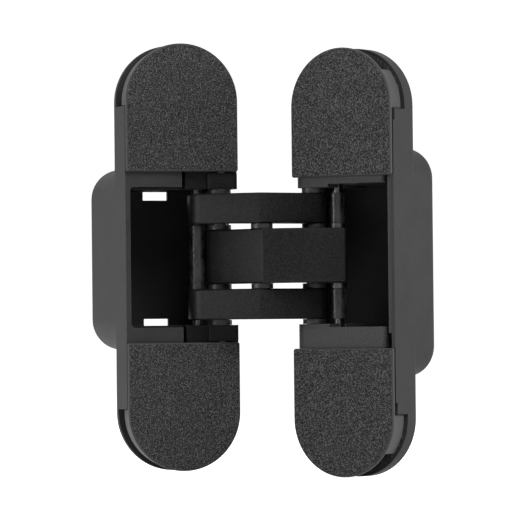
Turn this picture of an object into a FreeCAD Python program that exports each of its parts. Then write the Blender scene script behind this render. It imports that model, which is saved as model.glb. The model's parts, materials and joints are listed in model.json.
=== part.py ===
import FreeCAD, Part
import math
import os
import re
import Sketcher
from FreeCAD import Placement, Rotation, Vector

# Concealed door hinge: two mortised leaves joined by three crossing arms.
# The frame leaf lies square to the axes, its plate's rear face on y = 0 and its front towards -Y.
# Z runs along the pivot pins. The door leaf stands open at rest_opening degrees, 0 being closed.
# Each leaf is drawn in its own frame: x across it, y into the wood from the caps' face, z up.

os.makedirs("parts", exist_ok=True)
doc = FreeCAD.newDocument("concealed_hinge")

SIZES = {
    # Both leaves
    "leaf_width": 30.0,
    "leaf_height": 110.0,
    "plate_depth": 11.2,
    "band_half": 39.0,
    "box_corner": 8.0,
    "cavity_corner": 5.0,
    "box_edge": 2.6,
    "back_wall": 1.0,
    "edge_wall": 1.5,
    "fixing_spread": 88.0,
    "fixing_hole": 5.2,
    "fixing_collar": 7.2,
    "fixing_room": 9.6,
    # Caps
    "cap_reach": 33.0,
    "cap_depth": 1.5,
    "cap_edge": 0.5,
    "cap_lip": 0.8,
    "skirt_end": 6.2,
    "skirt_inset": 0.6,
    "skirt_wall": 1.2,
    "skirt_gap": 12.0,
    # Frame leaf
    "frame_box_depth": 22.6,
    "frame_box_half": 29.5,
    "frame_side_wall": 1.1,
    "frame_floor": 3.9,
    "rib_pitch": 1.0,
    "rib_height": 0.45,
    "toothed_plate_wall": 2.2,
    # Door leaf
    "door_box_depth": 36.0,
    "door_box_half": 23.75,
    "door_side_wall": 1.3,
    "door_floor": 1.5,
    "door_mouth_half": 18.1,
    "block_depth": 4.5,
    "window_width": 6.8,
    "window_height": 3.8,
    "window_place": 2.9,
    # Mechanism, in the plan of a leaf
    "pivot_inset": 3.8,
    "pivot_depth": 4.6,
    "head_reach": 15.47,
    "tail_reach": 21.25,
    "tail_lean": 5.36,
    "turn_share": 0.6944,
    "closed_gap": 5.0,
    "rest_opening": 129.0,
    "full_opening": 180.0,
    # Pins, sleeves and washers
    "pivot_pin": 4.0,
    "tail_pin": 2.6,
    "sleeve": 4.3,
    "collar": 4.6,
    "washer": 6.0,
    "cross_washer": 5.6,
    "run_gap": 0.05,
    "slot_gap": 0.15,
    "body_gap": 0.3,
    # Arms
    "head_knuckle": 6.6,
    "tail_knuckle": 5.0,
    "ridge_central": 3.2,
    "ridge_outer": 1.9,
    "ridge_round": 0.8,
    "arm_neck": 2.2,
    "inner_round": 4.0,
    "elbow_room": 2.6,
    "elbow_high": 8.6,
    "elbow_low": 19.5,
    "arm_bevel": 0.35,
    # Heights from the middle of the arms
    "central_half": 7.0,
    "layer_gap": 1.35,
    "outer_high": 7.85,
    "lug_high": 6.3,
    "lug_shift": 1.3,
    "washer_play": 0.05,
    # Adjusters
    "height_setting": 1.85,
    "height_travel": 3.0,
    "side_travel": 1.0,
    "ear_wall": 1.8,
    "height_screw": 4.0,
    "side_screw": 4.8,
    "hex_key": 2.5,
    "side_screw_place": 28.5,
}

sheet = doc.addObject("Spreadsheet::Sheet", "sizes")
for row, (alias, value) in enumerate(SIZES.items(), start=1):
    sheet.set(f"A{row}", alias)
    sheet.set(f"B{row}", str(value))
    sheet.setAlias(f"B{row}", alias)
doc.recompute()


def size(alias):
    """Value of one cell of the sheet."""
    return float(getattr(sheet, alias))


def bind(thing, prop, text):
    """Bind a property to an expression on the sheet's cells."""
    thing.setExpression(prop, re.sub(r"[a-z]\w+", lambda word: cell(word.group()), text))


def cell(word):
    return f"sizes.{word}" if word in SIZES else word


def box(name, x, y, z):
    """Box between pairs of expressions along x, y and z."""
    part = doc.addObject("Part::Box", name)
    for side, axis, (low, high) in zip(("Length", "Width", "Height"), "xyz", (x, y, z)):
        bind(part, side, f"({high}) - ({low})")
        bind(part, f"Placement.Base.{axis}", low)
    return part


def rod(name, axis, centre, span, diameter):
    """Cylinder along y or z; centre is its place across the axis, span its two ends."""
    part = doc.addObject("Part::Cylinder", name)
    bind(part, "Radius", f"({diameter}) / 2")
    bind(part, "Height", f"({span[1]}) - ({span[0]})")
    if axis == "y":
        part.Placement = Placement(Vector(), Rotation(Vector(1, 0, 0), -90))
        place = {"x": centre[0], "y": span[0], "z": centre[1]}
    else:
        place = {"x": centre[0], "y": centre[1], "z": span[0]}
    for key, text in place.items():
        bind(part, f"Placement.Base.{key}", text)
    return part


def fuse(name, *pieces):
    result = doc.addObject("Part::MultiFuse", name)
    result.Shapes = list(pieces)
    result.Refine = True
    return result


def cut(name, base, *tools):
    result = doc.addObject("Part::Cut", name)
    result.Base = base
    result.Tool = tools[0] if len(tools) == 1 else fuse(name + "_tools", *tools)
    result.Refine = True
    return result


def polar(centre, reach, degrees):
    angle = math.radians(degrees)
    return (centre[0] + reach * math.cos(angle), centre[1] + reach * math.sin(angle))


def belt(circles):
    """Closed outline that runs counterclockwise round circles (x, y, radius).

    A negative radius makes the outline pass inside the circle, as in a hollow corner.
    """
    count = len(circles)
    runs = []
    for index in range(count):
        x0, y0, r0 = circles[index]
        x1, y1, r1 = circles[(index + 1) % count]
        reach = math.hypot(x1 - x0, y1 - y0)
        course = math.atan2(y1 - y0, x1 - x0) - math.asin((r1 - r0) / reach)
        left = (-math.sin(course), math.cos(course))
        start = Vector(x0 - r0 * left[0], y0 - r0 * left[1], 0)
        end = Vector(x1 - r1 * left[0], y1 - r1 * left[1], 0)
        runs.append((start, end))
    edges = []
    for index in range(count):
        x0, y0, r0 = circles[index]
        arrive = runs[index - 1][1]
        leave = runs[index][0]
        edges.append(Part.LineSegment(*runs[index]))
        if r0 == 0:
            continue
        a0 = math.atan2(arrive.y - y0, arrive.x - x0)
        a1 = math.atan2(leave.y - y0, leave.x - x0)
        if r0 < 0:
            a0, a1 = a1, a0
        if a1 <= a0:
            a1 += 2 * math.pi
        ring = Part.Circle(Vector(x0, y0, 0), Vector(0, 0, 1), abs(r0))
        edges.append(Part.ArcOfCircle(ring, a0, a1))
    return edges


def pad(name, plane, circles, span, bores=(), bevel=None, round_far=None, round_near=None):
    """Body padded from a belt outline between two expressions.

    Plane "XY" pads along z. Plane "XZ" draws x and z and pads along y.
    Bores are (x, y, expression for the diameter). Bevel breaks the edges of both flat faces.
    """
    body = doc.addObject("PartDesign::Body", name)
    sketch = body.newObject("Sketcher::SketchObject", name + "_outline")
    origin = next(item for item in body.Origin.OriginFeatures if item.Role == plane + "_Plane")
    sketch.AttachmentSupport = [(origin, "")]
    sketch.MapMode = "FlatFace"
    sign = "" if plane == "XY" else "-"
    bind(sketch, "AttachmentOffset.Base.z", f"{sign}({span[0]})")
    sketch.addGeometry(belt(circles), False)
    for x, y, diameter in bores:
        ring = Part.Circle(Vector(x, y, 0), Vector(0, 0, 1), 1.0)
        index = sketch.addGeometry(ring, False)
        radius = sketch.addConstraint(Sketcher.Constraint("Radius", index, 1.0))
        sketch.addConstraint(Sketcher.Constraint("DistanceX", -1, 1, index, 3, x))
        sketch.addConstraint(Sketcher.Constraint("DistanceY", -1, 1, index, 3, y))
        bind(sketch, f"Constraints[{radius}]", f"({diameter}) / 2")
    feature = body.newObject("PartDesign::Pad", name + "_pad")
    feature.Profile = sketch
    feature.Reversed = plane == "XZ"
    bind(feature, "Length", f"({span[1]}) - ({span[0]})")
    doc.recompute()
    if bevel:
        feature = edge_break(body, feature, "PartDesign::Chamfer", plane, bevel, (-1, 1))
    if round_far:
        feature = edge_break(body, feature, "PartDesign::Fillet", plane, round_far, (1,))
    if round_near:
        feature = edge_break(body, feature, "PartDesign::Fillet", plane, round_near, (-1,))
    return body


def edge_break(body, feature, kind, plane, amount, ends):
    """Chamfer or fillet round the flat end faces of a pad; ends are -1 for near and 1 for far."""
    axis = Vector(0, 0, 1) if plane == "XY" else Vector(0, 1, 0)
    faces = []
    for number, face in enumerate(feature.Shape.Faces, start=1):
        if face.Surface.TypeId != "Part::GeomPlane":
            continue
        lean = face.normalAt(0, 0).dot(axis)
        if any(abs(lean - end) < 1e-6 for end in ends):
            faces.append(f"Face{number}")
    result = body.newObject(kind, f"{feature.Name}_{len(body.Group)}")
    result.Base = (feature, faces)
    bind(result, "Size" if kind.endswith("Chamfer") else "Radius", amount)
    doc.recompute()
    return result


def slab(half_width, half_high, radius):
    """Belt circles of a rounded rectangle about the middle."""
    x = half_width - radius
    z = half_high - radius
    return [(x, -z, radius), (x, z, radius), (-x, z, radius), (-x, -z, radius)]


nodes = {}


def node(name, feature, placement):
    """Name a finished piece and put it in its place."""
    feature.Label = name
    feature.Placement = placement
    nodes[name] = feature


# Plan of the mechanism: (u, f) in a leaf, u towards the other leaf and f out of its face
HALF_WIDTH = size("leaf_width") / 2
HALF_HEIGHT = size("leaf_height") / 2
SHARE = size("turn_share")
PIVOT = (HALF_WIDTH - size("pivot_inset"), -size("pivot_depth"))
CLOSED_HEAD = 180 - math.degrees(math.asin((size("closed_gap") / 2 - PIVOT[1]) / size("head_reach")))


def cross_at(opening):
    """Centre of the cross pin, the same in both leaves."""
    return polar(PIVOT, size("head_reach"), CLOSED_HEAD - SHARE * opening)


def tail_at(opening):
    """Centre of the tail pin that a leaf guides."""
    lean = size("tail_lean") - 90 - (1 - SHARE) * opening
    return polar(cross_at(opening), size("tail_reach"), lean)


REST = size("rest_opening")
FULL = size("full_opening")
CROSS = cross_at(REST)
TAIL = tail_at(REST)
DOOR_TURN = Rotation(Vector(0, 0, 1), FULL - REST)
UP = Vector(0, 0, size("height_setting"))
FRAME_LEAF = Placement(Vector(0, -size("plate_depth"), 0), Rotation())
FRAME_MOVING = Placement(FRAME_LEAF.Base + UP, Rotation())
DOOR_OFFSET = Vector(-CROSS[0], -CROSS[1] - size("plate_depth"), 0) - DOOR_TURN.multVec(Vector(CROSS[0], -CROSS[1], 0))
DOOR_LEAF = Placement(DOOR_OFFSET + UP, DOOR_TURN)

DOOR = 1
FRAME = -1


def plan(side, point, radius=0.0):
    """Circle of a plan point in the coordinates of a leaf's own frame."""
    return (side * point[0], -point[1], radius)


def plan_belt(side, circles):
    """Plan circles, given clockwise as seen from above, turned into belt order for a leaf."""
    placed = [plan(side, (u, f), r) for u, f, r in circles]
    return placed if side < 0 else placed[::-1]


def across(side, low, high):
    """Pair of x expressions for a stretch of u."""
    return (low, high) if side > 0 else (f"-({high})", f"-({low})")


# Heights of the layers, from the middle of the arms
OUTER_LOW = "central_half + layer_gap"
OUTER_TOP = "central_half + layer_gap + outer_high"
LUG_LOW = "central_half + 2 * layer_gap + outer_high"
LUG_TOP = "central_half + 2 * layer_gap + outer_high + lug_high"
LUG_LOW_MM = size("central_half") + 2 * size("layer_gap") + size("outer_high")
LUG_TOP_MM = LUG_LOW_MM + size("lug_high")


def mirrored(low, high, level):
    """Span above (level 1) or below (level -1) the middle of the arms."""
    return (low, high) if level > 0 else (f"-({high})", f"-({low})")


LEVELS = (("upper", 1), ("lower", -1))


# Arms
def arm_circles(tail_side_corner, ridge):
    """Outline of an arm in plan, in the leaf of its tail, at rest."""
    head_way = 180 - CLOSED_HEAD
    swing = (1 - 2 * SHARE) * FULL
    middle = (0.0, 0.0)
    head_r = size("head_knuckle") / 2
    tail_r = size("tail_knuckle") / 2
    head = polar(middle, size("head_reach"), head_way)
    tail = polar(middle, size("tail_reach"), size("tail_lean") - 90)
    far_pin = polar(middle, size("head_reach"), CLOSED_HEAD + 180 + swing)
    hollow = size("pivot_pin") / 2 + size("body_gap") + 2 * size("run_gap")
    round_r = size("ridge_round")
    crest = polar(polar(middle, head_r - round_r, head_way + 90), ridge, head_way + 180)
    rise = polar(middle, head_r + size("inner_round"), head_way - 90)
    slope = math.tan(math.radians(head_way))
    inner_x = far_pin[0] - hollow + size("inner_round")
    corner = (inner_x, rise[1] + (inner_x - rise[0]) * slope)
    circles = [(head[0], head[1], head_r), (crest[0], crest[1], round_r)]
    if tail_side_corner:
        closed_cross = cross_at(0.0)
        wall = -(HALF_WIDTH - size("elbow_room")) - closed_cross[0]
        circles += [(wall + 1.0, -size("elbow_high"), 1.0), (wall + 0.6, 0.6 - size("elbow_low"), 0.6)]
    else:
        circles.append((far_pin[0], far_pin[1], hollow + size("arm_neck")))
    circles.append((tail[0], tail[1], tail_r))
    circles.append((far_pin[0], far_pin[1], -hollow))
    circles.append((corner[0], corner[1], -size("inner_round")))
    turn = -(1 - SHARE) * REST
    placed = []
    for x, y, r in circles:
        spot = polar(CROSS, math.hypot(x, y), math.degrees(math.atan2(y, x)) + turn)
        placed.append((spot[0], spot[1], r))
    return placed


def arm(name, side, span, corner, ridge, bores):
    """Arm whose tail lies in the leaf on the given side."""
    turn = -(1 - SHARE) * REST
    head = polar(CROSS, size("head_reach"), 180 - CLOSED_HEAD + turn)
    spots = zip((head, CROSS, TAIL), bores)
    holes = [plan(side, spot)[:2] + (diameter,) for spot, diameter in spots]
    circles = [plan(side, (u, f), r) for u, f, r in arm_circles(corner, ridge)]
    circles = circles if side < 0 else circles[::-1]
    return pad(name + "_body", "XY", circles, span, bores=holes, bevel="arm_bevel")


RUNNING = "pivot_pin + 2 * run_gap"
central = arm("central_arm", FRAME, ("-central_half", "central_half"), True, size("ridge_central"), (RUNNING, RUNNING, "tail_pin"))
node("central_arm", central, FRAME_MOVING)
for level_name, level in LEVELS:
    name = f"outer_arm_{level_name}"
    span = mirrored(OUTER_LOW, OUTER_TOP, level)
    outer = arm(name, DOOR, span, False, size("ridge_outer"), (RUNNING, "pivot_pin", "tail_pin"))
    node(name, outer, DOOR_LEAF)


# Pins, washers and sleeves
def spot_text(side, point):
    x, y, _ = plan(side, point)
    return (f"{x:.6f}", f"{y:.6f}")


PIVOT_TEXT = {DOOR: ("leaf_width / 2 - pivot_inset", "pivot_depth"), FRAME: ("pivot_inset - leaf_width / 2", "pivot_depth")}


def pin(name, centre, half_text, diameter, placement):
    """Plain pin centred on the arms, its two ends chamfered."""
    shank = rod(name + "_shank", "z", centre, (f"-({half_text})", half_text), diameter)
    doc.recompute()
    result = doc.addObject("Part::Chamfer", name + "_pin")
    result.Base = shank
    chamfer = 0.3
    rims = [number for number, edge in enumerate(shank.Shape.Edges, start=1) if edge.Closed and len(edge.Vertexes) == 1]
    result.Edges = [(number, chamfer, chamfer) for number in rims]
    node(name, result, placement)


def ring(name, centre, span, outer, inner, placement):
    """Washer, collar or sleeve."""
    body = rod(name + "_body", "z", centre, span, outer)
    hole = rod(name + "_hole", "z", centre, (f"({span[0]}) - 1", f"({span[1]}) + 1"), inner)
    node(name, cut(name + "_ring", body, hole), placement)


pin("frame_pivot_pin", PIVOT_TEXT[FRAME], LUG_TOP + " - 0.4", "pivot_pin", FRAME_MOVING)
pin("door_pivot_pin", PIVOT_TEXT[DOOR], LUG_TOP + " - 0.4", "pivot_pin", DOOR_LEAF)
pin("cross_pin", spot_text(DOOR, CROSS), OUTER_TOP + " - 0.2", "pivot_pin", DOOR_LEAF)
pin("frame_tail_pin", spot_text(FRAME, TAIL), LUG_LOW + " + 3", "tail_pin", FRAME_MOVING)
pin("door_tail_pin", spot_text(DOOR, TAIL), LUG_LOW + " + 3", "tail_pin", DOOR_LEAF)

INNER_GAP = ("central_half + washer_play", OUTER_LOW + " - washer_play")
OUTER_GAP = (OUTER_TOP + " + washer_play", LUG_LOW + " - washer_play")
for level_name, level in LEVELS:
    inner_span = mirrored(*INNER_GAP, level)
    outer_span = mirrored(*OUTER_GAP, level)
    for leaf, side, placement in (("frame", FRAME, FRAME_MOVING), ("door", DOOR, DOOR_LEAF)):
        ring(f"{leaf}_inner_washer_{level_name}", PIVOT_TEXT[side], inner_span, "washer", "pivot_pin", placement)
        ring(f"{leaf}_lug_washer_{level_name}", PIVOT_TEXT[side], outer_span, "washer", "pivot_pin", placement)
    ring(f"cross_washer_{level_name}", spot_text(DOOR, CROSS), inner_span, "cross_washer", "pivot_pin", DOOR_LEAF)
    tail_spot = spot_text(FRAME, TAIL)
    ring(f"frame_tail_collar_{level_name}", tail_spot, inner_span, "collar", "tail_pin", FRAME_MOVING)
    sleeve_span = mirrored(OUTER_LOW, OUTER_TOP, level)
    ring(f"frame_tail_sleeve_{level_name}", tail_spot, sleeve_span, "sleeve", "tail_pin", FRAME_MOVING)
ring("door_tail_sleeve", spot_text(DOOR, TAIL), (f"-({OUTER_LOW}) + washer_play", OUTER_LOW + " - washer_play"),
     "sleeve", "tail_pin", DOOR_LEAF)


# Guide slots
def slot_face(side):
    """Face of the slot that the tail pin sweeps in a leaf, in that leaf's frame."""
    radius = size("tail_pin") / 2 + size("slot_gap")
    steps = 12
    centres = [plan(side, tail_at(FULL * step / steps))[:2] for step in range(steps + 1)]
    path = Part.BSplineCurve()
    path.interpolate([Vector(x, y, 0) for x, y in centres])
    first, last = path.FirstParameter, path.LastParameter
    sides = []
    for sign in (1, -1):
        points = []
        for step in range(2 * steps + 1):
            at = first + (last - first) * step / (2 * steps)
            course = path.tangent(at)[0]
            normal = Vector(-course.y, course.x, 0) * (sign * radius)
            points.append(path.value(at) + normal)
        curve = Part.BSplineCurve()
        curve.interpolate(points)
        sides.append((curve, points))
    ends = []
    for at, index, sign in ((last, -1, 1), (first, 0, -1)):
        course = path.tangent(at)[0]
        tip = path.value(at) + course * (sign * radius)
        ends.append(Part.Arc(sides[0][1][index], tip, sides[1][1][index]).toShape())
    return Part.Face(Part.Wire([sides[0][0].toShape(), ends[0], sides[1][0].toShape(), ends[1]]))


def slot_tool(name, side, low, high):
    tool = doc.addObject("Part::Feature", name)
    face = slot_face(side)
    face.translate(Vector(0, 0, low))
    tool.Shape = face.extrude(Vector(0, 0, high - low))
    return tool


# Frame carriers: a block above the arms and one below, joined by the pivot pin
CARRIER_FRONT = size("cap_depth") + 0.2
CARRIER_BACK = size("frame_box_depth") - size("back_wall") - size("body_gap")
LUG_ROUND = 2.9
LUG_CENTRE = PIVOT[0] + size("lug_shift")
SCREW_AXIS = ("0", "cap_depth + 3.2")


def lug_hollow(right):
    """Hollow corner where the round of a lug runs into the plate's straight side."""
    radius = 0.6
    reach = LUG_ROUND + radius
    return (right + radius, PIVOT[1] - math.sqrt(reach ** 2 - (right + radius - LUG_CENTRE) ** 2), -radius)


def frame_carrier_outline():
    left = -(HALF_WIDTH - size("frame_side_wall")) + 2.0
    right = HALF_WIDTH - size("edge_wall") - 2 * size("body_gap")
    circles = [(LUG_CENTRE, PIVOT[1], LUG_ROUND), (left + 0.8, -(CARRIER_FRONT + 0.8), 0.8),
               (left + 2.0, -(CARRIER_BACK - 2.0), 2.0), (right - 1.5, -(CARRIER_BACK - 1.5), 1.5),
               lug_hollow(right)]
    return [plan(FRAME, (u, f), r) for u, f, r in circles]


slot_low = LUG_LOW_MM - 1.0
slot_high = LUG_LOW_MM + 3.4
STEP_SIDE = f"{PIVOT[0] - 6.2}"
WEB_SIDE = "leaf_width / 2 - frame_side_wall - run_gap * 3"
blocks = []
tools = []
for level_name, level in LEVELS:
    name = f"frame_carrier_{level_name}"
    blocks.append(pad(name, "XY", frame_carrier_outline(), mirrored(LUG_LOW, LUG_TOP, level)))
    blocks.append(box(name + "_bridge", (f"{WEB_SIDE} - 4", WEB_SIDE), ("pivot_depth", "frame_box_depth - 6"),
                      mirrored(LUG_LOW + " + 1.2", LUG_TOP + " - 2.6", level)))
    tools.append(rod(name + "_bore", "z", PIVOT_TEXT[FRAME], mirrored(LUG_LOW + " - 1", LUG_TOP + " + 1", level), "pivot_pin"))
    lows = (slot_low, slot_high) if level > 0 else (-slot_high, -slot_low)
    tools.append(slot_tool(name + "_slot", FRAME, *lows))
    tools.append(box(name + "_step", ("-" + STEP_SIDE, "leaf_width / 2 - 2.3"), ("0", "frame_box_depth"),
                     mirrored(LUG_LOW + " - 1", LUG_LOW + " + 0.85", level)))
blocks.append(rod("frame_carrier_boss", "z", SCREW_AXIS, (LUG_TOP + " - 1", LUG_TOP + " + 0.9"), "height_screw + 2"))
tools.append(rod("frame_carrier_thread", "z", SCREW_AXIS, (LUG_LOW + " - 1", LUG_TOP + " + 4"), "height_screw + 2 * run_gap"))
inset = size("frame_side_wall") + size("body_gap")
room_half = size("frame_box_half") - size("edge_wall") - size("height_travel") - size("body_gap")
shift = (size("edge_wall") - size("frame_side_wall")) / 2
room = [(x + shift, z, r) for x, z, r in slab(HALF_WIDTH - inset - shift, room_half, size("cavity_corner") - size("body_gap"))]
carrier_room = pad("frame_carrier_room", "XZ", room, ("0", "frame_box_depth"))
lug_room = box("frame_lug_room", ("-leaf_width", "-leaf_width / 4 - body_gap"), ("0", "2 * pivot_depth - 0.6"), ("-(" + LUG_TOP + ")", LUG_TOP))
limit_pieces = [fuse("frame_carrier_plates", *blocks), fuse("frame_whole_room", carrier_room, lug_room)]
limit = doc.addObject("Part::MultiCommon", "frame_carrier_limit")
limit.Shapes = limit_pieces
web = box("frame_web", (f"{WEB_SIDE} - 0.85", WEB_SIDE), ("cap_depth + 0.3", "frame_box_depth - 6"),
          ("-(" + LUG_LOW + " + 2.5)", LUG_LOW + " + 2.5"))
blank = fuse("frame_carrier_blank", limit, web)
node("frame_carrier", cut("frame_carrier_cut", blank, *tools), FRAME_MOVING)


# Door carrier: one casting, two lugged plates on a side web
def door_room(gap=None):
    """Outline of the door leaf's cavity in x and z, drawn in by a gap."""
    inset = size(gap) if gap else 0.0
    left = -(HALF_WIDTH - size("door_side_wall")) + inset
    right = HALF_WIDTH - size("edge_wall") - inset
    half = size("door_box_half") - size("edge_wall") - inset
    circles = slab((right - left) / 2, half, size("cavity_corner") - inset)
    return [(x + (left + right) / 2, z, r) for x, z, r in circles]


def door_plate_circles():
    left = -(HALF_WIDTH - size("door_side_wall")) + size("body_gap")
    right = HALF_WIDTH - size("edge_wall") - size("body_gap")
    back = size("door_box_depth") - 11.0
    front = size("block_depth") + size("side_travel") + size("body_gap")
    recess = CARRIER_FRONT + 1.6
    lug_left = PIVOT[0] - 4.0
    tip = LUG_CENTRE + LUG_ROUND - 1.0
    circles = [(tip, PIVOT[1] - LUG_ROUND + 1.0, 1.0), (tip, PIVOT[1] + LUG_ROUND - 1.0, 1.0),
               (lug_left + 0.4, -(CARRIER_FRONT + 0.4), 0.4),
               (lug_left - 0.3, -(recess - 0.3), -0.3), (1.9, -(recess + 0.4), 0.4), (1.1, -(front - 0.4), -0.4),
               (left + 0.8, -(front + 0.8), 0.8), (left + 2.0, -(back - 2.0), 2.0), (right - 2.0, -(back - 2.0), 2.0),
               (right + 0.6, PIVOT[1] - LUG_ROUND - 0.6, -0.6)]
    placed = [plan(DOOR, (u, f), r) for u, f, r in circles]
    return placed[::-1]


EAR_FRONT = "block_depth + side_travel + body_gap"
plates = []
ears = []
tools = []
for level_name, level in LEVELS:
    plates.append(pad(f"door_plate_{level_name}", "XY", door_plate_circles(), mirrored(LUG_LOW, LUG_TOP, level)))
    ear_top = "side_screw_place + 3.6"
    ears.append(box(f"door_ear_{level_name}", ("-4.2", "4.2"), (EAR_FRONT, EAR_FRONT + " + ear_wall"),
                    mirrored(LUG_TOP + " - 1", ear_top, level)))
    tools.append(rod(f"door_bore_{level_name}", "z", PIVOT_TEXT[DOOR], mirrored(LUG_LOW + " - 1", LUG_TOP + " + 1", level), "pivot_pin"))
    lows = (slot_low, slot_high) if level > 0 else (-slot_high, -slot_low)
    tools.append(slot_tool(f"door_slot_{level_name}", DOOR, *lows))
    place = "side_screw_place" if level > 0 else "-side_screw_place"
    tools.append(box(f"door_lug_step_{level_name}", ("-leaf_width", "leaf_width"), ("0", "cap_depth + side_travel + body_gap"),
                     mirrored("leaf_height / 2 - cap_reach - 0.3", "leaf_height / 2", level)))
    tools.append(rod(f"door_ear_bore_{level_name}", "y", ("0", place), ("0", "door_box_depth"), "side_screw + 2 * run_gap"))
web = box("door_web", ("-leaf_width / 2 + door_side_wall + body_gap", "-leaf_width / 2 + door_side_wall + body_gap + 1.5"),
          ("14", "door_box_depth - 13"), ("-(" + LUG_TOP + ")", LUG_TOP))
carrier_room = pad("door_carrier_room", "XZ", door_room("body_gap"), ("0", "door_box_depth"))
lug_room = box("door_lug_room", ("-5", "leaf_width"), ("0", "plate_depth - 2.9"), ("-(" + LUG_TOP + ")", LUG_TOP))
whole_room = fuse("door_whole_room", carrier_room, lug_room)
limit = doc.addObject("Part::MultiCommon", "door_carrier_limit")
limit.Shapes = [fuse("door_plates", web, *plates), whole_room]
carrier = fuse("door_carrier_blank", limit, *ears)
node("door_carrier", cut("door_carrier_cut", carrier, *tools), DOOR_LEAF)


# Leaves
def stadium():
    reach = HALF_HEIGHT - HALF_WIDTH
    return [(0, reach, HALF_WIDTH), (0, -reach, HALF_WIDTH)]


def leaf_blank(leaf, box_half, floor):
    """Plate with a thin rim at its ends, side walls over the band and the box behind."""
    rim = pad(f"{leaf}_rim", "XZ", stadium(), (f"plate_depth - {floor}", "plate_depth"))
    band = pad(f"{leaf}_band", "XZ", slab(HALF_WIDTH, size("band_half"), 0.3), ("cap_depth", "plate_depth"))
    shell = pad(f"{leaf}_shell", "XZ", slab(HALF_WIDTH, box_half, size("box_corner")), ("plate_depth - 2", f"{leaf}_box_depth"),
                round_far="box_edge")
    return fuse(f"{leaf}_blank", rim, band, shell)


def fixing_tools(leaf, diameter):
    return [rod(f"{leaf}_fixing_{name}", "y", ("0", f"{sign}fixing_spread / 2"), ("0", "plate_depth + 1"), diameter)
            for name, sign in (("upper", ""), ("lower", "-"))]


def cap(leaf, level_name, level, gap_side):
    """Clip-on cover: a flat face with the leaf's round end and a skirt that stands on the floor's side."""
    low = HALF_HEIGHT - size("cap_reach")
    reach = HALF_HEIGHT - HALF_WIDTH
    tiny = 0.6
    plates = []
    groove = size("skirt_inset")
    for part_name, inset, span in (("face", 0, ("0", "cap_lip")), ("seat", groove, ("cap_lip - 0.2", "cap_depth"))):
        wide = HALF_WIDTH - inset
        foot = level * (low + tiny + inset)
        outline = [(tiny - wide, foot, tiny), (wide - tiny, foot, tiny), (0, level * reach, wide)]
        outline = outline if level > 0 else outline[::-1]
        round_near = "cap_edge" if inset == 0 else None
        plates.append(pad(f"{leaf}_{level_name}_{part_name}", "XZ", outline, span, round_near=round_near))
    face = fuse(f"{leaf}_{level_name}_plate", *plates)
    edge = size("skirt_inset")
    wall = size("skirt_wall")
    ring_low = size("band_half") + 0.15
    skirts = []
    for part_name, inset in (("out", edge), ("in", edge + wall)):
        radius = HALF_WIDTH - inset
        foot = ring_low if inset == edge else ring_low - 2
        shape = [(-radius + 0.01, level * foot, 0.0), (radius - 0.01, level * foot, 0.0), (0, level * reach, radius)]
        shape = shape if level > 0 else shape[::-1]
        skirts.append(pad(f"{leaf}_{level_name}_skirt_{part_name}", "XZ", shape, ("cap_depth - 0.5", "skirt_end")))
    skirt = cut(f"{leaf}_{level_name}_skirt", *skirts)
    piece = fuse(f"{leaf}_{level_name}_cap", face, skirt)
    if gap_side:
        span = ("band_half", "leaf_height") if level > 0 else ("-leaf_height", "-band_half")
        apex = ("leaf_height / 2 - skirt_gap / 2", "leaf_height") if level > 0 else ("-leaf_height", "skirt_gap / 2 - leaf_height / 2")
        opening = box(f"{leaf}_{level_name}_opening", ("-leaf_width", "leaf_width"), ("cap_depth", "plate_depth"), apex)
        piece = cut(f"{leaf}_{level_name}_open_cap", piece, opening)
    return piece


BACK = {"frame": "frame_box_depth - back_wall", "door": "door_box_depth - back_wall"}


def frame_housing():
    blank = leaf_blank("frame", size("frame_box_half"), "frame_floor")
    half = size("frame_box_half") - size("edge_wall")
    shift = (size("edge_wall") - size("frame_side_wall")) / 2
    room = [(x + shift, z, r) for x, z, r in slab(HALF_WIDTH - (size("edge_wall") + size("frame_side_wall")) / 2, half, size("cavity_corner"))]
    cavity = pad("frame_cavity", "XZ", room, ("-1", BACK["frame"]))
    reach = f"{LUG_TOP} + height_travel + body_gap"
    mouth = box("frame_mouth", across(FRAME, "leaf_width / 4", "leaf_width"), ("-1", "plate_depth - frame_floor"),
                (f"-({reach})", reach))
    tools = [cavity, mouth]
    low = f"{LUG_LOW} - height_travel - body_gap"
    for level_name, level in LEVELS:
        tools.append(box(f"frame_lug_way_{level_name}", across(FRAME, "leaf_width / 4", "leaf_width"), ("0", "2 * pivot_depth - 0.3"),
                         mirrored(low, reach, level)))
        tools.append(box(f"frame_pocket_{level_name}", ("2.2 - leaf_width / 2", "leaf_width / 2 - 2.2"), ("-1", "plate_depth - frame_floor"),
                         mirrored("frame_box_half", "band_half + 1", level)))
        tools.append(box(f"frame_notch_{level_name}", ("-leaf_width", "leaf_width"), ("-1", "cap_depth + 0.8"),
                         mirrored("band_half - 3", "band_half + 1", level)))
    tools.append(rod("height_screw_way", "z", ("0", "cap_depth + 3.2"), ("frame_box_half - 4", "frame_box_half + 1"), "height_screw + 0.4"))
    tools += fixing_tools("frame", "fixing_room")
    shell = cut("frame_shell_cut", blank, *tools)
    keeper = box("height_keeper", ("-5", "5"), ("cap_depth + 0.1", "plate_depth - frame_floor + 0.5"), ("frame_box_half + 1.6", "frame_box_half + 2.8"))
    keeper_way = rod("height_keeper_way", "z", ("0", "cap_depth + 3.2"), ("frame_box_half", "frame_box_half + 4"), "height_screw + 0.8")
    parts = [shell, cut("height_keeper_cut", keeper, keeper_way)]
    return fuse("frame_housing_body", *parts, *floor_ribs())


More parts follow.
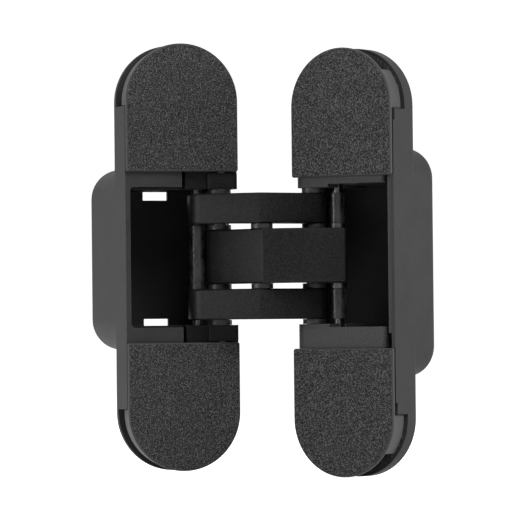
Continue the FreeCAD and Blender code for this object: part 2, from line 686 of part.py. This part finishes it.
def floor_ribs():
    """Low ribs along the leaf on the two end floors, under the toothed plates."""
    ribs = []
    pitch = size("rib_pitch")
    inner = size("band_half") + 1.2
    outer_reach = HALF_HEIGHT - HALF_WIDTH
    edge = HALF_WIDTH - 1.0
    count = int(edge / pitch)
    clear = size("fixing_room") / 2 + 0.4
    fixing = size("fixing_spread") / 2
    for level_name, level in LEVELS:
        for index in range(-count, count + 1):
            x = index * pitch
            top = outer_reach + math.sqrt(max(edge * edge - x * x, 0.0))
            spans = [(inner, top)]
            if abs(x) < clear:
                reach = math.sqrt(clear * clear - x * x)
                spans = [(inner, fixing - reach), (fixing + reach, top)]
            for number, (low, high) in enumerate(spans):
                if high - low < 1.0:
                    continue
                sign = 1 if level > 0 else -1
                zs = (f"{low}", f"{high}") if level > 0 else (f"{-high}", f"{-low}")
                ribs.append(box(f"rib_{level_name}_{index + count}_{number}", (f"{x} - rib_pitch / 4", f"{x} + rib_pitch / 4"),
                                ("plate_depth - frame_floor - rib_height", "plate_depth - frame_floor + 0.3"), zs))
    return ribs


def door_housing():
    blank = leaf_blank("door", size("door_box_half"), "door_floor")
    cavity = pad("door_cavity", "XZ", door_room(), ("block_depth", BACK["door"]))
    middle = (size("door_side_wall") - size("edge_wall")) / 2
    wide = HALF_WIDTH - (size("door_side_wall") + size("edge_wall")) / 2
    mouth_room = [(x + middle, z, r) for x, z, r in slab(wide, size("door_mouth_half"), 1.0)]
    mouth = pad("door_mouth", "XZ", mouth_room, ("-1", "door_box_depth / 2"))
    edge_mouth = box("door_edge_mouth", ("leaf_width / 4", "leaf_width"), ("-1", "plate_depth - 2.6"),
                     (f"-({LUG_TOP} + body_gap)", f"{LUG_TOP} + body_gap"))
    recess = box("door_recess", ("0.2", "leaf_width / 2 - 1"), ("-1", "plate_depth"), (f"-({LUG_TOP} + body_gap)", f"{LUG_TOP} + body_gap"))
    tools = [cavity, mouth, edge_mouth, recess]
    for level_name, level in LEVELS:
        tools.append(box(f"door_pocket_{level_name}", ("-9", "9"), ("-1", "plate_depth - door_floor"),
                         mirrored("door_mouth_half + 4", "band_half - 1.5", level)))
        place = "side_screw_place" if level > 0 else "-side_screw_place"
        tools.append(rod(f"side_screw_way_{level_name}", "y", ("0", place), ("0", "plate_depth + 1"), "3.2"))
        tools.append(rod(f"side_screw_sink_{level_name}", "y", ("0", place), ("plate_depth - 0.7", "plate_depth + 1"), "5.6"))
        low = "door_mouth_half - 2.4"
        tools.append(box(f"door_window_{level_name}", ("window_place - window_width / 2", "window_place + window_width / 2"),
                         ("door_box_depth - 3", "door_box_depth + 1"), mirrored(low, low + " + window_height", level)))
    tools += fixing_tools("door", "fixing_hole")
    return cut("door_housing_body", blank, *tools)


node("frame_housing", frame_housing(), FRAME_LEAF)
node("door_housing", door_housing(), DOOR_LEAF)
for level_name, level in LEVELS:
    node(f"frame_cap_{level_name}", cap("frame", level_name, level, True), FRAME_LEAF)
    node(f"door_cap_{level_name}", cap("door", level_name, level, False), DOOR_LEAF)


# Toothed plates under the frame caps
for level_name, level in LEVELS:
    name = f"frame_toothed_plate_{level_name}"
    fixing = "fixing_spread / 2" if level > 0 else "-fixing_spread / 2"
    floor_front = "plate_depth - frame_floor - rib_height - 0.02"
    body = box(name + "_blank", ("-7", "7"), (f"{floor_front} - toothed_plate_wall", floor_front),
               (f"{fixing} - 4", f"{fixing} + 4"))
    collar = rod(name + "_collar", "y", ("0", fixing), (f"{floor_front} - 1", "plate_depth"), "fixing_collar")
    body = fuse(name + "_body", body, collar)
    hole = rod(name + "_hole", "y", ("0", fixing), ("0", "plate_depth + 1"), "fixing_hole")
    sink = doc.addObject("Part::Cone", name + "_sink")
    bind(sink, "Radius1", "fixing_hole")
    bind(sink, "Radius2", "fixing_hole / 2")
    bind(sink, "Height", "fixing_hole / 2")
    sink.Placement = Placement(Vector(), Rotation(Vector(1, 0, 0), -90))
    bind(sink, "Placement.Base.y", f"{floor_front} - toothed_plate_wall - fixing_hole / 4")
    bind(sink, "Placement.Base.z", fixing)
    node(name, cut(name + "_cut", body, hole, sink), FRAME_LEAF)


# Adjusting screws
def hexagon(name, axis, centre, span):
    """Six-sided key socket."""
    key = doc.addObject("Part::Prism", name)
    key.Polygon = 6
    bind(key, "Circumradius", "hex_key / 1.732")
    bind(key, "Height", f"({span[1]}) - ({span[0]})")
    if axis == "y":
        key.Placement = Placement(Vector(), Rotation(Vector(1, 0, 0), -90))
        place = {"x": centre[0], "y": span[0], "z": centre[1]}
    else:
        place = {"x": centre[0], "y": centre[1], "z": span[0]}
    for letter, text in place.items():
        bind(key, f"Placement.Base.{letter}", text)
    return key


shank = rod("height_shank", "z", SCREW_AXIS, (LUG_LOW + " + height_setting + 0.9", "frame_box_half + 5"), "height_screw")
flange = rod("height_flange", "z", SCREW_AXIS, ("frame_box_half + 0.1", "frame_box_half + 1.5"), "height_screw + 1")
socket = hexagon("height_socket", "z", SCREW_AXIS, ("frame_box_half + 2.6", "frame_box_half + 6"))
node("height_screw", cut("height_screw_cut", fuse("height_screw_blank", shank, flange), socket), FRAME_LEAF)
for level_name, level in LEVELS:
    place = "side_screw_place" if level > 0 else "-side_screw_place"
    name = f"side_screw_{level_name}"
    centre = ("0", place)
    shank = rod(name + "_shank", "y", centre, ("cap_depth + 0.3", "plate_depth - door_floor"), "side_screw")
    collar = rod(name + "_collar", "y", centre, ("plate_depth - door_floor - 0.9", "plate_depth - door_floor - 0.05"), "side_screw + 2")
    neck = rod(name + "_neck", "y", centre, ("plate_depth - door_floor - 1", "plate_depth - 0.1"), "3.0")
    rivet = rod(name + "_rivet", "y", centre, ("plate_depth - 0.65", "plate_depth - 0.1"), "5.2")
    shank_short = fuse(name + "_blank", shank, collar, neck, rivet)
    socket = hexagon(name + "_socket", "y", centre, ("0", "cap_depth + 2.8"))
    node(name, cut(name + "_cut", shank_short, socket), DOOR_LEAF)

doc.recompute()

faults = [item.Label for item in doc.Objects if {"Invalid", "Error"} & set(item.State)]
for name, feature in nodes.items():
    if feature.Shape.isNull() or not feature.Shape.isValid():
        faults.append(name)
if faults:
    raise RuntimeError(f"Faulty objects: {faults}")

for name, feature in nodes.items():
    feature.Shape.exportStep(f"parts/{name}.step")
    room = feature.Shape.BoundBox
    print(f"{name}: {feature.Shape.Volume:.1f} mm3, {len(feature.Shape.Solids)} solid,",
          f"{room.XLength:.1f} x {room.YLength:.1f} x {room.ZLength:.1f}")
print(len(nodes), "nodes")
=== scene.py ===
# %% [markdown]
# # A concealed door hinge, dressed for its portrait
# This notebook dresses a matte black concealed hinge. The hinge arrives as a finished mechanical
# model, and every solid in it already has its final shape and place. What is left is what the
# eye reads as a real object: paint with a fine grain, satin castings, turned steel, and light.
# Everything is in metres, and the Z axis runs along the pivot pins.

# %% Load the mechanical model
import json
import math

import bpy
from mathutils import Matrix, Vector


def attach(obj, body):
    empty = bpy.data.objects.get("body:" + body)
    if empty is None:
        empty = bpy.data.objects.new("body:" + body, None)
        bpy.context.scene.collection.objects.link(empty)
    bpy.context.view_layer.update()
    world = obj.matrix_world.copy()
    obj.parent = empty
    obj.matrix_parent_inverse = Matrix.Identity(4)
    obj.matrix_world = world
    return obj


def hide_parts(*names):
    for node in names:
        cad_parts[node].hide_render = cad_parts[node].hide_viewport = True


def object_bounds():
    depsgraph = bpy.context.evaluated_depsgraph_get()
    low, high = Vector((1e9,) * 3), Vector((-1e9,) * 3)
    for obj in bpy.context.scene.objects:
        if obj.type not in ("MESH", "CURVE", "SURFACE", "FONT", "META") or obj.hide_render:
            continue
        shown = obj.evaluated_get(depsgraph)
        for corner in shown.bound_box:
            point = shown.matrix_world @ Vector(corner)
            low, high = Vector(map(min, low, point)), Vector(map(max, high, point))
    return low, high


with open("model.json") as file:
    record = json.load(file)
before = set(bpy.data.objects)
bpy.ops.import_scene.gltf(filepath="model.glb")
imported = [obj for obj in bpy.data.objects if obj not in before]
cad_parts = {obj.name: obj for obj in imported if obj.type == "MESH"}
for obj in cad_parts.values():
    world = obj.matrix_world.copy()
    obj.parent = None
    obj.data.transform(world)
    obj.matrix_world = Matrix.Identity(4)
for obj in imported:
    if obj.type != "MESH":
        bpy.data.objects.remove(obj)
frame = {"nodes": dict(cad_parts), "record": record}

cad_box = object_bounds()
print("pieces in the model:", len(frame["nodes"]))

# %% [markdown]
# ## Start from an empty selection
# Operators act on whatever is selected, and a fresh import leaves every piece selected.
# Clearing the selection first keeps the later steps from touching the solids by accident.

# %% Clear the selection and set plain colour handling
scene = bpy.context.scene
bpy.ops.object.select_all(action="DESELECT")
scene.view_settings.view_transform = "Standard"
print("view transform:", scene.view_settings.view_transform)

# %% [markdown]
# ## Writing shader maths as ordinary maths
# A finish is easier to read when its pattern is written as a formula. This small class wraps one
# socket, and each operator adds the Math node that does the same sum. A plain number in a formula
# becomes the value of a socket, so it costs no node of its own.

# %% A socket that understands plus and times
class Pattern:
    """One value in a node tree that can be used in formulas."""

    def __init__(self, finish, socket):
        self.finish = finish
        self.socket = socket

    def _math(self, operation, *values):
        return self.finish.add("ShaderNodeMath", {"operation": operation}, values)

    def __add__(self, other):
        return self._math("ADD", self, other)

    def __sub__(self, other):
        return self._math("SUBTRACT", self, other)

    def __rsub__(self, other):
        return self._math("SUBTRACT", other, self)

    def __mul__(self, other):
        return self._math("MULTIPLY", self, other)

    __radd__ = __add__
    __rmul__ = __mul__

    def clamped(self, low, high):
        """0 at low, 1 at high, and never outside that."""
        values = [self, low, high, 0.0, 1.0]
        return self.finish.add("ShaderNodeMapRange", {"clamp": True}, values)


print("operators that add a node:", "+ - *")

# %% [markdown]
# ## One finish, one small builder
# Each finish starts from the Principled shader. The builder below makes the material, sets its
# constant values straight on the shader, and adds any other node with its settings first and the
# values of its sockets after them. Two of its methods use the Bevel node, which gives the normal
# that a rounded edge would have: one softens the edges in the light, and one finds the edges to
# paint a paler highlight along them in the base colour.

# %% The finish builder
BEVEL_RAYS = 4
SOFT_EDGE = 0.0002
# Where the painted edge highlight starts and where it is full, by how far the rounded normal turns.
HIGHLIGHT_STARTS = 0.02
HIGHLIGHT_IS_FULL = 0.2
MIX_FACTOR, MIX_FROM, MIX_TO, MIX_RESULT = 0, 6, 7, 2


class Finish:
    """A material with a Principled shader and a short way to add nodes."""

    def __init__(self, name, **constants):
        self.material = bpy.data.materials.new(name)
        self.material.use_nodes = True
        self.tree = self.material.node_tree
        self.shader = self.tree.nodes["Principled BSDF"]
        for socket, value in constants.items():
            self.shader.inputs[socket.replace("_", " ")].default_value = value
        self.place = self.add("ShaderNodeTexCoord", {}, [], output="Object")

    def add(self, kind, settings, values, output=0):
        node = self.tree.nodes.new(kind)
        for key, value in settings.items():
            if key == "stops":
                self.set_stops(node.color_ramp, value)
            else:
                setattr(node, key, value)
        entries = values.items() if isinstance(values, dict) else enumerate(values)
        for key, value in entries:
            if isinstance(value, Pattern):
                self.tree.links.new(value.socket, node.inputs[key])
            else:
                node.inputs[key].default_value = value
        return Pattern(self, node.outputs[output])

    @staticmethod
    def set_stops(ramp, stops):
        while len(ramp.elements) < len(stops):
            ramp.elements.new(0.5)
        for element, (place, colour) in zip(ramp.elements, stops):
            element.position = place
            element.color = (*colour, 1.0)

    def noise(self, scale, detail=2.0, roughness=0.5, stretch=None):
        place = self.place
        if stretch:
            place = self.add("ShaderNodeMapping", {}, {"Vector": place, "Scale": stretch})
        values = {"Vector": place, "Scale": scale, "Detail": detail, "Roughness": roughness}
        return self.add("ShaderNodeTexNoise", {}, values)

    def cells(self, scale):
        values = {"Vector": self.place, "Scale": scale}
        return self.add("ShaderNodeTexVoronoi", {"feature": "F1"}, values)

    def colours(self, value, stops):
        return self.add("ShaderNodeValToRGB", {"stops": stops}, {"Fac": value}, output="Color")

    def feed(self, socket, value):
        self.tree.links.new(value.socket, self.shader.inputs[socket])

    def rounded(self, radius):
        """The normal that the surface would have with its edges rounded."""
        return self.add("ShaderNodeBevel", {"samples": BEVEL_RAYS}, {"Radius": radius})

    def bump(self, height, depth, strength=1.0, edge=SOFT_EDGE):
        """Raise and sink the surface by a pattern, over softly rounded edges."""
        values = {"Height": height, "Distance": depth, "Strength": strength}
        values["Normal"] = self.rounded(edge)
        self.feed("Normal", self.add("ShaderNodeBump", {}, values))

    def edge_highlight(self, colour, highlight_colour, radius):
        """Lighten a colour along the edges, a painted highlight where the edges would catch the
        light.
        """
        flat = self.add("ShaderNodeNewGeometry", {}, [], output="Normal")
        product = {"operation": "DOT_PRODUCT"}
        normals = [self.rounded(radius), flat]
        cosine = self.add("ShaderNodeVectorMath", product, normals, output="Value")
        # Near an edge the two normals part, and there the colour is painted paler as a highlight.
        edge = (1 - cosine).clamped(HIGHLIGHT_STARTS, HIGHLIGHT_IS_FULL)
        ends = {MIX_FACTOR: edge, MIX_FROM: colour, MIX_TO: (*highlight_colour, 1.0)}
        return self.add("ShaderNodeMix", {"data_type": "RGBA"}, ends, output=MIX_RESULT)


print("a finish rounds its edges in the light by", SOFT_EDGE * 1000, "mm")

# %% [markdown]
# ## Greys as the eye counts them
# A picture counts its greys from 0 to 255, and a shader wants the share of light. The sRGB curve
# leads from one to the other. A slight cast makes a grey a little warmer, or cooler if negative.

# %% Grey levels
def grey(level, warm=0.0):
    """Linear colour of a grey from 0 to 255, with a slight warm or cool cast."""
    share = level / 255
    linear = share / 12.92 if share <= 0.04045 else ((share + 0.055) / 1.055) ** 2.4
    return (linear * (1 + warm), linear, linear * (1 - warm))


print("a grey of 55 is", [round(value, 4) for value in grey(55)])

# %% [markdown]
# ## The covers: fine pebbled black
# The end covers have a matt black surface with a very fine pebble, like the texture etched into a
# mould. A fine noise gives the pebble, and rounded cells break up its evenness. Only the flat face
# is pebbled, and the rim behind it is smooth, so the finish reads an attribute called pebble that
# the covers will carry: 1 on the face and 0 on the rim.

# %% Pebbled cover finish
PEBBLE_STOPS = [(0.36, grey(26)), (0.52, grey(54)), (0.68, grey(96))]
RIM_SHADE = 0.55

cover_black = Finish("cover_black", Roughness=0.6, Metallic=0.0, Specular_IOR_Level=0.08)
face = cover_black.add("ShaderNodeAttribute", {"attribute_name": "pebble"}, [], output="Fac")
grain = cover_black.cells(scale=3200.0)
speckle = cover_black.noise(scale=3600.0, detail=1.0)
pebble = speckle * face + RIM_SHADE * (1 - face)
cover_black.feed("Base Color", cover_black.colours(pebble, PEBBLE_STOPS))
cover_black.feed("Roughness", 0.4 + face * 0.25)
cover_black.bump((speckle - grain * 0.4) * face, depth=0.0004, strength=0.9)
print("cover finish:", len(cover_black.tree.nodes), "nodes")

# %% [markdown]
# ## The castings: satin black paint over zinc
# Both leaves are die castings under a thin satin paint. The paint is smoother than the covers, with
# a soft orange-peel that shows only in the highlights.

# %% Painted casting finish
casting_black = Finish("casting_black", Roughness=0.45, Metallic=0.0, Specular_IOR_Level=0.04)
peel = casting_black.noise(scale=900.0, detail=3.0, roughness=0.55)
flow = casting_black.noise(scale=120.0)
paint = casting_black.colours(flow * 0.6 + peel * 0.4, [(0.3, grey(48)), (0.7, grey(57))])
# The casting's edges are painted paler, towards grey 84, as a highlight where they catch the light.
casting_black.feed("Base Color", casting_black.edge_highlight(paint, grey(84), radius=0.00025))
casting_black.feed("Roughness", 0.38 + flow * 0.2)
casting_black.bump(peel, depth=0.00003, strength=0.5)
print("casting finish:", len(casting_black.tree.nodes), "nodes")

# %% [markdown]
# ## The carriers: one bright, one deep
# The carrier of the frame leaf is blasted before it is painted, so its plates stay a little paler
# than the castings. The carrier of the door leaf is painted the deepest black of the hinge, as
# painted shade for the shadow its covers cast on it.

# %% Carrier finishes
# How many greys paler the painted highlight along a carrier's edges is.
EDGE_GAIN = 40


def carrier_finish(name, low, high, gloss):
    """Blasted and painted casting between two greys, with a highlight painted EDGE_GAIN paler on
    its edges.
    """
    carrier = Finish(name, Roughness=0.45, Metallic=0.0, Specular_IOR_Level=gloss)
    blast = carrier.noise(scale=2000.0)
    paint = carrier.colours(blast, [(0.35, grey(low)), (0.65, grey(high))])
    # The carrier's edges are painted EDGE_GAIN greys paler, as a highlight where they catch the
    # light.
    carrier.feed("Base Color", carrier.edge_highlight(paint, grey(high + EDGE_GAIN), radius=0.0003))
    carrier.feed("Roughness", 0.4 + blast * 0.12)
    carrier.bump(blast, depth=0.00004, strength=0.8, edge=0.0004)
    return carrier


frame_carrier_black = carrier_finish("frame_carrier_black", low=44, high=58, gloss=0.1)
# The door carrier's greys are set low as painted shade, for the shadow its covers cast on it.
door_carrier_shaded_black = carrier_finish("door_carrier_shaded_black", low=12, high=26, gloss=0.08)
print("carrier finishes:", frame_carrier_black.material.name, door_carrier_shaded_black.material.name)

# %% [markdown]
# ## The arms: smooth facets in deep black
# The arms are machined before they are painted, so their facets stay flat and catch the light in
# clean planes. The cutter leaves a fine grain across the height of the hinge under the paint.

# %% Painted arm finish
arm_black = Finish("arm_black", Roughness=0.45, Metallic=0.0, Specular_IOR_Level=0.13)
cutter = arm_black.noise(scale=300.0, detail=3.0, roughness=0.6, stretch=(1.0, 1.0, 9.0))
mottle = arm_black.noise(scale=2200.0, detail=1.0)
paint = arm_black.colours(mottle, [(0.35, grey(0)), (0.65, grey(22))])
# The arm's edges are painted paler, towards grey 82, as a highlight where they catch the light.
arm_black.feed("Base Color", arm_black.edge_highlight(paint, grey(82), radius=0.0003))
arm_black.feed("Roughness", 0.4 + mottle * 0.1)
arm_black.bump(cutter * 0.3 + mottle * 0.7, depth=0.00005, edge=0.0003)
print("arm finish:", len(arm_black.tree.nodes), "nodes")

# %% [markdown]
# ## Turned steel pins and collars
# The pins are blackened steel, turned and then ground. Grinding leaves fine rings round the pin,
# so the noise is squeezed along Z.

# %% Blackened steel finish
pin_steel = Finish("pin_steel", Roughness=0.3, Metallic=1.0)
rings = pin_steel.noise(scale=500.0, detail=3.0, roughness=0.6, stretch=(0.3, 0.3, 12.0))
pin_steel.feed("Base Color", pin_steel.colours(rings, [(0.3, grey(50)), (0.7, grey(92))]))
pin_steel.feed("Roughness", 0.24 + rings * 0.2)
pin_steel.bump(rings, depth=0.00002, strength=0.5)
print("pin finish:", len(pin_steel.tree.nodes), "nodes")

# %% [markdown]
# ## Oiled black sleeves
# The rollers on the tail pins are blackened and oiled. The oil pools in streaks along the roller,
# so its gloss is broken up by a noise that is stretched along Z.

# %% Sleeve finish
sleeve_black = Finish("sleeve_black", Roughness=0.25, Metallic=0.0, Specular_IOR_Level=0.3)
oil = sleeve_black.noise(scale=900.0, detail=3.0, roughness=0.6, stretch=(1.0, 1.0, 0.35))
sleeve_black.feed("Base Color", sleeve_black.colours(oil, [(0.35, grey(16)), (0.65, grey(48))]))
sleeve_black.feed("Roughness", 0.1 + oil * 0.36)
sleeve_black.bump(oil, depth=0.00008, edge=0.0003)
print("sleeve finish:", len(sleeve_black.tree.nodes), "nodes")

# %% [markdown]
# ## Slippery black washers
# The washers between the arms are a smooth black plastic with a faint cloudiness.

# %% Washer finish
washer_black = Finish("washer_black", Roughness=0.42, Specular_IOR_Level=0.3)
haze = washer_black.noise(scale=700.0)
washer_black.feed("Base Color", washer_black.colours(haze, [(0.3, grey(26)), (0.7, grey(38))]))
washer_black.feed("Roughness", 0.36 + haze * 0.16)
washer_black.bump(haze, depth=0.00002, strength=0.4)
print("washer finish:", len(washer_black.tree.nodes), "nodes")

# %% [markdown]
# ## Zinc plated screws and toothed plates
# What sits under the covers is left bright: zinc plating with its slightly blue, crystalline cloud.

# %% Zinc finish
ZINC_STOPS = [(0.2, grey(150, warm=-0.02)), (0.8, grey(190, warm=-0.01))]

zinc_bright = Finish("zinc_bright", Roughness=0.36, Metallic=1.0)
frost = zinc_bright.cells(scale=900.0)
drift = zinc_bright.noise(scale=300.0, detail=3.0, roughness=0.6)
zinc_bright.feed("Base Color", zinc_bright.colours(drift * 0.7 + frost * 0.3, ZINC_STOPS))
zinc_bright.feed("Roughness", 0.28 + drift * 0.25)
zinc_bright.bump(drift, depth=0.00002, strength=0.5)
print("zinc finish:", len(zinc_bright.tree.nodes), "nodes")

# %% [markdown]
# ## Hand each piece its finish
# The record says which material slot each node takes, so one small table from slot to finish
# dresses the whole hinge. A second table holds the few pieces that differ from their slot.

# %% Dress the pieces
WARDROBE = {
    "housing": casting_black,
    "cap": cover_black,
    "carrier": frame_carrier_black,
    "arm": arm_black,
    "washer": washer_black,
    "pin_steel": pin_steel,
    "zinc_steel": zinc_bright,
}
SPECIAL = {
    # The door carrier takes the finish that is painted dark as shade.
    "door_carrier": door_carrier_shaded_black,
    "door_tail_sleeve": sleeve_black,
    "frame_tail_sleeve_upper": sleeve_black,
    "frame_tail_sleeve_lower": sleeve_black,
}
SLOT_OF = {entry["node"]: entry["material_slot"] for entry in frame["record"]["subparts"]}
for node, slot in SLOT_OF.items():
    materials = frame["nodes"][node].data.materials
    materials.clear()
    materials.append(SPECIAL.get(node, WARDROBE[slot]).material)
print("dressed", len(SLOT_OF), "pieces")

# %% [markdown]
# ## Softened edges on the arms
# Nothing that is painted has a knife edge. The solids of the arms have sharp corners, so each gets
# a finer stand-in: a copy of its mesh is merged into one skin, its flat triangles are dissolved
# into whole faces, and a narrow bevel rounds every sharp edge.

# %% Round the edges of a copy
MERGE_WITHIN = 0.000002
FLAT_UNDER = math.radians(0.5)
SHARP_OVER = math.radians(40)
SMOOTH_UNDER = math.radians(35)
ROUND_STEPS = 3
ARM_ROUNDING = 0.00035

BODY_OF = {}
for body, nodes in frame["record"]["behaviour"]["bodies"].items():
    BODY_OF.update(dict.fromkeys(nodes, body))


def softened(node, width):
    """A finer copy of a node, with its sharp edges rounded, that stands in for it."""
    piece = bpy.data.objects.new(node + "_soft", frame["nodes"][node].data.copy())
    scene.collection.objects.link(piece)
    bpy.ops.object.select_all(action="DESELECT")
    piece.select_set(True)
    bpy.context.view_layer.objects.active = piece
    bpy.ops.mesh.customdata_custom_splitnormals_clear()
    bpy.ops.object.mode_set(mode="EDIT")
    bpy.ops.mesh.select_all(action="SELECT")
    bpy.ops.mesh.remove_doubles(threshold=MERGE_WITHIN)
    bpy.ops.mesh.dissolve_limited(angle_limit=FLAT_UNDER)
    bpy.ops.object.mode_set(mode="OBJECT")
    rounding = piece.modifiers.new("rounding", "BEVEL")
    rounding.width = width
    rounding.segments = ROUND_STEPS
    rounding.limit_method = "ANGLE"
    rounding.angle_limit = SHARP_OVER
    bpy.ops.object.modifier_apply(modifier="rounding")
    bpy.ops.object.shade_smooth_by_angle(angle=SMOOTH_UNDER)
    piece.select_set(False)
    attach(piece, BODY_OF[node])
    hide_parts(node)
    return piece


for node in ("outer_arm_upper", "outer_arm_lower", "central_arm"):
    piece = softened(node, ARM_ROUNDING)
    print(piece.name, "has", len(piece.data.polygons), "faces")

# %% [markdown]
# ## Covers that know their own front
# The covers get stand-ins too. Each face of the mesh that looks the same way as the cover's front
# is marked in the pebble attribute. The mark belongs to the mesh, so it stays in its place when
# the hinge turns.

# %% Covers with a marked front
COVER_ROUNDING = 0.0002
SAME_WAY = 0.97
FRONTS = {"frame": Vector((0.0, -1.0, 0.0)), "door": Vector((0.77714596, -0.62932039, 0.0))}


def mark_front(piece, front):
    """Write 1 into the pebble attribute of the faces that look along front."""
    marks = piece.data.attributes.new("pebble", "FLOAT", "FACE")
    for polygon in piece.data.polygons:
        marks.data[polygon.index].value = float(polygon.normal.dot(front) > SAME_WAY)
    return sum(mark.value for mark in marks.data)


for leaf, front in FRONTS.items():
    for level in ("upper", "lower"):
        piece = softened(f"{leaf}_cap_{level}", COVER_ROUNDING)
        print(piece.name, "has", int(mark_front(piece, front)), "front faces")

# %% [markdown]
# ## A white sweep
# The hinge stands on a pale floor that curves up behind it. A plane is extruded upwards at its
# back edge and the corner is bevelled, which leaves no line behind the object.

# %% Floor and backdrop
SWEEP_SIZE = 6.0
SWEEP_HEIGHT = 3.0
CURVE_RADIUS = 1.0
CURVE_STEPS = 12
NEAR = 0.1
FLOOR_GAP = 0.0005

floor_level = cad_box[0][2] - FLOOR_GAP


def pick_edges(piece, test):
    """Select the edges whose two ends pass a test on their place."""
    bpy.ops.object.mode_set(mode="EDIT")
    bpy.ops.mesh.select_mode(type="EDGE")
    bpy.ops.mesh.select_all(action="DESELECT")
    bpy.ops.object.mode_set(mode="OBJECT")
    for edge in piece.data.edges:
        edge.select = all(test(piece.data.vertices[corner].co) for corner in edge.vertices)
    bpy.ops.object.mode_set(mode="EDIT")


def at_the_back(place):
    return place.y > SWEEP_SIZE / 2 - NEAR


bpy.ops.object.select_all(action="DESELECT")
bpy.ops.mesh.primitive_plane_add(size=SWEEP_SIZE, location=(0.0, 0.0, floor_level))
sweep = bpy.context.active_object
sweep.name = "sweep"
bpy.ops.object.transform_apply(location=True, rotation=True, scale=True)
pick_edges(sweep, at_the_back)
bpy.ops.mesh.extrude_region_move(TRANSFORM_OT_translate={"value": (0.0, 0.0, SWEEP_HEIGHT)})
pick_edges(sweep, lambda place: at_the_back(place) and place.z < NEAR)
bpy.ops.mesh.bevel(offset=CURVE_RADIUS, segments=CURVE_STEPS, affect="EDGES")
bpy.ops.object.mode_set(mode="OBJECT")
sweep.select_set(False)
print("sweep has", len(sweep.data.polygons), "faces, and its floor is at", round(floor_level, 4))

# %% [markdown]
# ## White for the picture, plain for the light
# To the camera and in reflections the sweep is nearly white by itself, and a shadow still darkens
# it a little under the hinge. To every other ray it is a plain pale surface with no light of its
# own. The Light Path node tells the rays apart, and the world will use the same helper.

# %% The sweep's finish
PALE = (0.8, 0.8, 0.8, 1.0)
WHITE = (1.0, 1.0, 1.0, 1.0)
SWEEP_GLOW = 0.92


def light_by_ray(tree, strength, shown, hidden):
    """Feed a strength: shown to camera, glossy and transmission rays, hidden to all others."""
    path = tree.nodes.new("ShaderNodeLightPath")
    rays = path.outputs["Is Camera Ray"]
    for name in ("Is Glossy Ray", "Is Transmission Ray"):
        either = tree.nodes.new("ShaderNodeMath")
        either.operation = "MAXIMUM"
        tree.links.new(rays, either.inputs[0])
        tree.links.new(path.outputs[name], either.inputs[1])
        rays = either.outputs[0]
    level = tree.nodes.new("ShaderNodeMapRange")
    level.inputs["To Min"].default_value = hidden
    level.inputs["To Max"].default_value = shown
    tree.links.new(rays, level.inputs["Value"])
    tree.links.new(level.outputs["Result"], strength)


pale = bpy.data.materials.new("sweep_white")
pale.use_nodes = True
surface = pale.node_tree.nodes["Principled BSDF"]
surface.inputs["Base Color"].default_value = PALE
surface.inputs["Roughness"].default_value = 0.9
surface.inputs["Emission Color"].default_value = WHITE
light_by_ray(pale.node_tree, surface.inputs["Emission Strength"], shown=SWEEP_GLOW, hidden=0.0)
sweep.data.materials.append(pale)
print("sweep glows at", SWEEP_GLOW, "of white")

# %% [markdown]
# ## The room
# The world is white to the camera and to reflections, and gives a dim even fill to everything else.

# %% World
FILL = 0.12

world = bpy.data.worlds.new("room")
world.use_nodes = True
background = world.node_tree.nodes["Background"]
background.inputs["Color"].default_value = WHITE
light_by_ray(world.node_tree, background.inputs["Strength"], shown=1.0, hidden=FILL)
scene.world = world
print("world fill", FILL)

# %% [markdown]
# ## Soft boxes
# The photograph has broad soft light from both sides and from above. Four area lamps do that. The
# left one stands level with the hinge and faces the frame leaf's covers. The front one hangs over
# the camera and faces the door leaf's covers. The right one lights the sides of the castings, and
# the top one their upper edges.

# %% Lamps
LOOK_AT = Vector((-0.022, -0.012, 0.001))
SOFT_BOXES = {
    "left": {"away": (-0.51, -0.82, -0.05), "across": 0.45, "watts": 8.0},
    "right": {"away": (0.8, 0.5, 0.15), "across": 0.5, "watts": 7.0},
    "front": {"away": (0.55, -0.42, 0.65), "across": 0.5, "watts": 6.5},
    "top": {"away": (-0.5, -0.05, 0.85), "across": 0.4, "watts": 3.5},
}


def soft_box(name, away, across, watts):
    """Area lamp at an offset from the hinge, turned to face it."""
    lamp = bpy.data.lights.new(name, "AREA")
    lamp.size = across
    lamp.energy = watts
    holder = bpy.data.objects.new(name, lamp)
    holder.location = LOOK_AT + Vector(away)
    holder.rotation_euler = (-Vector(away)).to_track_quat("-Z", "Y").to_euler()
    scene.collection.objects.link(holder)


for name, box in SOFT_BOXES.items():
    soft_box(name, **box)
print(len(SOFT_BOXES), "soft boxes")

# %% [markdown]
# ## The camera
# The picture was taken with a long lens from one degree below the middle of the hinge, 33 degrees
# round from the frame leaf's front. The camera leans half a degree to one side, as in the
# photograph, so its place and its two axes are written out as they were measured.

# %% Camera
CAMERA_PLACE = Vector((0.55965013, -0.91072718, -0.01823357))
CAMERA_RIGHT = Vector((0.83852671, 0.54476314, -0.01029929))
CAMERA_UP = Vector((0.01828441, -0.00924225, 0.99979011))
CAMERA_BACK = CAMERA_RIGHT.cross(CAMERA_UP)

lens_body = bpy.data.cameras.new("portrait")
lens_body.lens = 285.81
lens_body.sensor_width = 36.0
lens_body.clip_start = 0.01
camera = bpy.data.objects.new("portrait", lens_body)
turned = Matrix((CAMERA_RIGHT, CAMERA_UP, CAMERA_BACK)).transposed().to_4x4()
camera.matrix_world = Matrix.Translation(CAMERA_PLACE) @ turned
scene.collection.objects.link(camera)
scene.camera = camera
print("camera stands", round((CAMERA_PLACE - LOOK_AT).length, 3), "m away")
